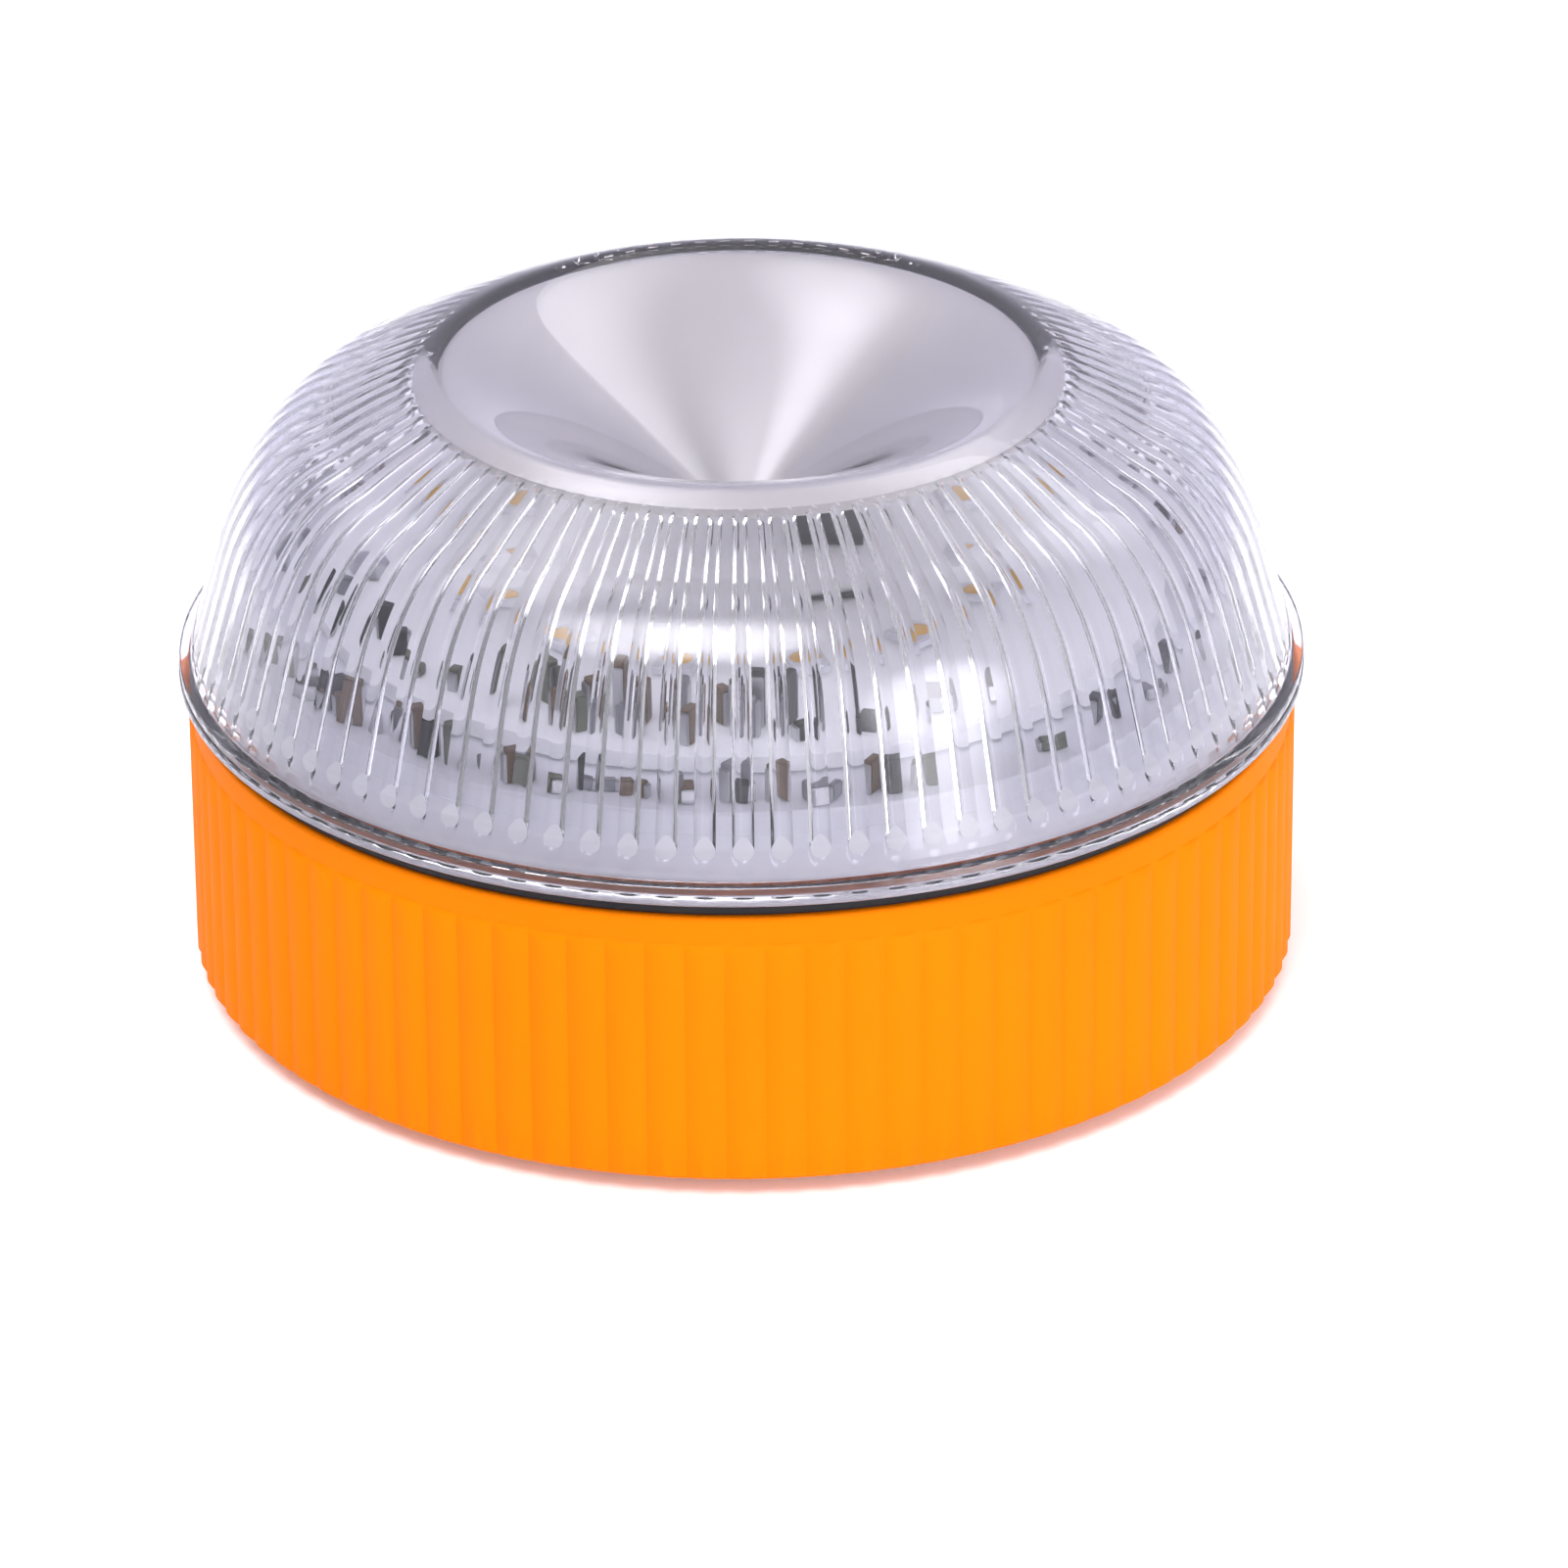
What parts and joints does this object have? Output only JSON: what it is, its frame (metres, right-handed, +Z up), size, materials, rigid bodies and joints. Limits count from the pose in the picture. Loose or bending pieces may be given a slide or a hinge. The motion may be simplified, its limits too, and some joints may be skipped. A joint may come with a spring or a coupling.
{
  "type": "led safety flare",
  "caption": "Round magnetic roadside warning light: fluted orange base, clear ribbed dome with a mirrored dish in its top, rubber foot and underside power button.",
  "frame": {"origin": "centre of the foot pad's underside, on the lens's axis", "axes": "+Z up through the lens; -Y towards the power button in the underside; +X along the cells"},
  "size_m": [0.08, 0.08, 0.0453],
  "materials": {
    "orange_plastic": "satin moulded",
    "clear_plastic": "clear, polished outside, ribbed inside",
    "silvered_plastic": "satin metallised",
    "black_rubber": "matte",
    "magnet": "nickel plated",
    "black_plastic": "matte",
    "white_plastic": "satin",
    "circuit_board": "solder mask",
    "led_board_white": "white solder mask",
    "steel": "zinc plated",
    "nickel": "nickel plated",
    "brass_contact": "gold flash",
    "cell_wrap": "printed wrap, plain",
    "led_package": "phosphor window"
  },
  "bodies": {
    "base": {"base_shell": "orange_plastic", "battery_tray": "black_plastic", "cell_1": "cell_wrap", "cell_2": "cell_wrap", "cell_3": "cell_wrap", "cell_spring_1": "steel", "cell_spring_2": "steel", "cell_spring_3": "steel", "contact_board": "circuit_board", "contact_board_screw_1": "steel", "contact_board_screw_2": "steel", "contact_pad": "brass_contact", "contact_plate_bridge_1": "nickel", "contact_plate_bridge_2": "nickel", "contact_plate_minus": "nickel", "contact_plate_plus": "nickel", "contact_ring_inner": "brass_contact", "contact_ring_outer": "brass_contact", "foot_pad": "black_rubber", "magnet_1": "magnet", "magnet_2": "magnet", "magnet_3": "magnet", "switch_board": "circuit_board", "switch_body": "black_plastic", "switch_screw_1": "steel", "switch_screw_2": "steel", "tray_screw_1": "steel", "tray_screw_2": "steel"},
    "button": {"power_button": "black_rubber", "switch_plunger": "white_plastic", "button_spring": "steel"},
    "seal": {"seal_ring": "black_rubber"},
    "lens": {"board_screw_1": "steel", "board_screw_2": "steel", "board_screw_3": "steel", "contact_pin_1": "brass_contact", "contact_pin_2": "brass_contact", "contact_pin_3": "brass_contact", "driver_chip": "black_plastic", "led_01": "led_package", "led_02": "led_package", "led_03": "led_package", "led_04": "led_package", "led_05": "led_package", "led_06": "led_package", "led_07": "led_package", "led_08": "led_package", "led_09": "led_package", "led_10": "led_package", "led_11": "led_package", "led_12": "led_package", "led_board": "led_board_white", "lens_deck": "white_plastic", "lens_dome": "clear_plastic", "reflector_funnel": "silvered_plastic"}
  },
  "joints": [
    {"name": "power_press", "type": "slide", "parent": "base", "child": "button", "axis": [0, 0, 1], "range_m": [0, 0.001], "stiffness_N_per_m": 1000, "springref_m": -0.0005, "deforming": ["button_spring"]},
    {"name": "lens_lift", "type": "slide", "parent": "base", "child": "seal", "axis": [0, 0, 1], "range_m": [0, 0.0012]},
    {"name": "lens_twist", "type": "hinge", "parent": "seal", "child": "lens", "pos_m": [0, 0, 0.0226], "axis": [0, 0, 1], "range_deg": [0, 72]}
  ],
  "couplings": [
    {"joint": "lens_lift", "follows": "lens_twist", "m_per_rad": 0.000954}
  ]
}
